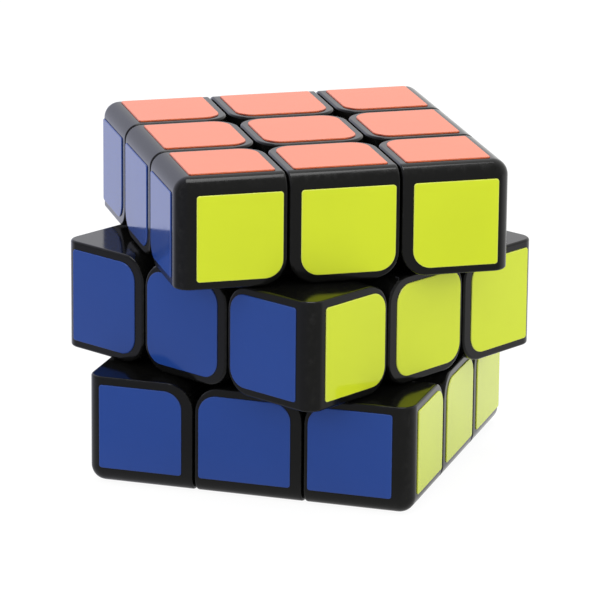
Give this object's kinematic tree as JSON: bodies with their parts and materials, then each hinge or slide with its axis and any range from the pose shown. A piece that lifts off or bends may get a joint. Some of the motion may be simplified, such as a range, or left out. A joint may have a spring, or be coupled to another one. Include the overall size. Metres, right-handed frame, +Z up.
{
  "type": "twisty puzzle cube",
  "caption": "Twisty puzzle cube with rounded black plastic pieces and coloured stickers; its upper and lower layers turn on the middle one and stand part-turned.",
  "frame": {"origin": "under the middle of the cube, on the surface that it stands on", "axes": "+Z up, the axis that the upper and lower layers turn about; the middle layer is square to the axes, with its yellow side facing +X and its blue side facing -Y"},
  "size_m": [0.0764, 0.0764, 0.057],
  "materials": {
    "black_plastic": "smooth moulded black plastic with a soft gloss",
    "inner_plastic": "moulded black plastic, satin",
    "zinc_steel": "zinc-plated steel",
    "spring_steel": "drawn spring wire",
    "sticker_yellow": "gloss vinyl, fluorescent yellow-green",
    "sticker_blue": "gloss vinyl, deep blue",
    "sticker_orange": "gloss vinyl, coral orange",
    "sticker_white": "gloss vinyl, white",
    "sticker_green": "gloss vinyl, green",
    "sticker_red": "gloss vinyl, red"
  },
  "bodies": {
    "middle_layer": {"core": "inner_plastic", "core_screws": "zinc_steel", "screw_washers": "zinc_steel", "tension_springs": "spring_steel", "middle_edge_feet": "inner_plastic", "middle_back_right_edge_shell": "black_plastic", "middle_back_left_edge_shell": "black_plastic", "middle_front_left_edge_shell": "black_plastic", "middle_front_right_edge_shell": "black_plastic", "middle_yellow_stickers": "sticker_yellow", "middle_green_stickers": "sticker_green", "middle_white_stickers": "sticker_white", "middle_blue_stickers": "sticker_blue"},
    "upper_layer": {"upper_layer_feet": "inner_plastic", "upper_face_stickers": "sticker_orange", "upper_back_right_corner_shell": "black_plastic", "upper_back_left_corner_shell": "black_plastic", "upper_front_left_corner_shell": "black_plastic", "upper_front_right_corner_shell": "black_plastic", "upper_right_edge_shell": "black_plastic", "upper_back_edge_shell": "black_plastic", "upper_left_edge_shell": "black_plastic", "upper_front_edge_shell": "black_plastic", "upper_yellow_stickers": "sticker_yellow", "upper_green_stickers": "sticker_green", "upper_white_stickers": "sticker_white", "upper_blue_stickers": "sticker_blue"},
    "lower_layer": {"lower_layer_feet": "inner_plastic", "lower_face_stickers": "sticker_red", "lower_back_right_corner_shell": "black_plastic", "lower_back_left_corner_shell": "black_plastic", "lower_front_left_corner_shell": "black_plastic", "lower_front_right_corner_shell": "black_plastic", "lower_right_edge_shell": "black_plastic", "lower_back_edge_shell": "black_plastic", "lower_left_edge_shell": "black_plastic", "lower_front_edge_shell": "black_plastic", "lower_yellow_stickers": "sticker_yellow", "lower_green_stickers": "sticker_green", "lower_white_stickers": "sticker_white", "lower_blue_stickers": "sticker_blue"},
    "right_centre": {"right_centre_hub": "inner_plastic", "right_centre_cap": "black_plastic", "right_centre_sticker": "sticker_yellow"},
    "back_centre": {"back_centre_hub": "inner_plastic", "back_centre_cap": "black_plastic", "back_centre_sticker": "sticker_green"},
    "left_centre": {"left_centre_hub": "inner_plastic", "left_centre_cap": "black_plastic", "left_centre_sticker": "sticker_white"},
    "front_centre": {"front_centre_hub": "inner_plastic", "front_centre_cap": "black_plastic", "front_centre_sticker": "sticker_blue"},
    "upper_centre": {"upper_centre_hub": "inner_plastic", "upper_centre_cap": "black_plastic", "upper_centre_sticker": "sticker_orange"},
    "lower_centre": {"lower_centre_hub": "inner_plastic", "lower_centre_cap": "black_plastic", "lower_centre_sticker": "sticker_red"}
  },
  "joints": [
    {"name": "upper_layer_turn", "type": "hinge", "parent": "middle_layer", "child": "upper_layer", "pos_m": [0, 0, 0.0285], "axis": [0, 0, 1], "continuous": true},
    {"name": "lower_layer_turn", "type": "hinge", "parent": "middle_layer", "child": "lower_layer", "pos_m": [0, 0, 0.0285], "axis": [0, 0, 1], "continuous": true},
    {"name": "right_centre_float", "type": "slide", "parent": "middle_layer", "child": "right_centre", "axis": [1, 0, 0], "range_m": [0, 0.0008], "stiffness_N_per_m": 300, "springref_m": -0.0005, "deforming": ["tension_springs"]},
    {"name": "back_centre_float", "type": "slide", "parent": "middle_layer", "child": "back_centre", "axis": [0, 1, 0], "range_m": [0, 0.0008], "stiffness_N_per_m": 300, "springref_m": -0.0005, "deforming": ["tension_springs"]},
    {"name": "left_centre_float", "type": "slide", "parent": "middle_layer", "child": "left_centre", "axis": [-1, 0, 0], "range_m": [0, 0.0008], "stiffness_N_per_m": 300, "springref_m": -0.0005, "deforming": ["tension_springs"]},
    {"name": "front_centre_float", "type": "slide", "parent": "middle_layer", "child": "front_centre", "axis": [0, -1, 0], "range_m": [0, 0.0008], "stiffness_N_per_m": 300, "springref_m": -0.0005, "deforming": ["tension_springs"]},
    {"name": "upper_centre_float", "type": "slide", "parent": "upper_layer", "child": "upper_centre", "axis": [0, 0, 1], "range_m": [0, 0.0008], "stiffness_N_per_m": 300, "springref_m": -0.0005, "deforming": ["tension_springs"]},
    {"name": "lower_centre_float", "type": "slide", "parent": "lower_layer", "child": "lower_centre", "axis": [0, 0, -1], "range_m": [0, 0.0008], "stiffness_N_per_m": 300, "springref_m": -0.0005, "deforming": ["tension_springs"]}
  ]
}
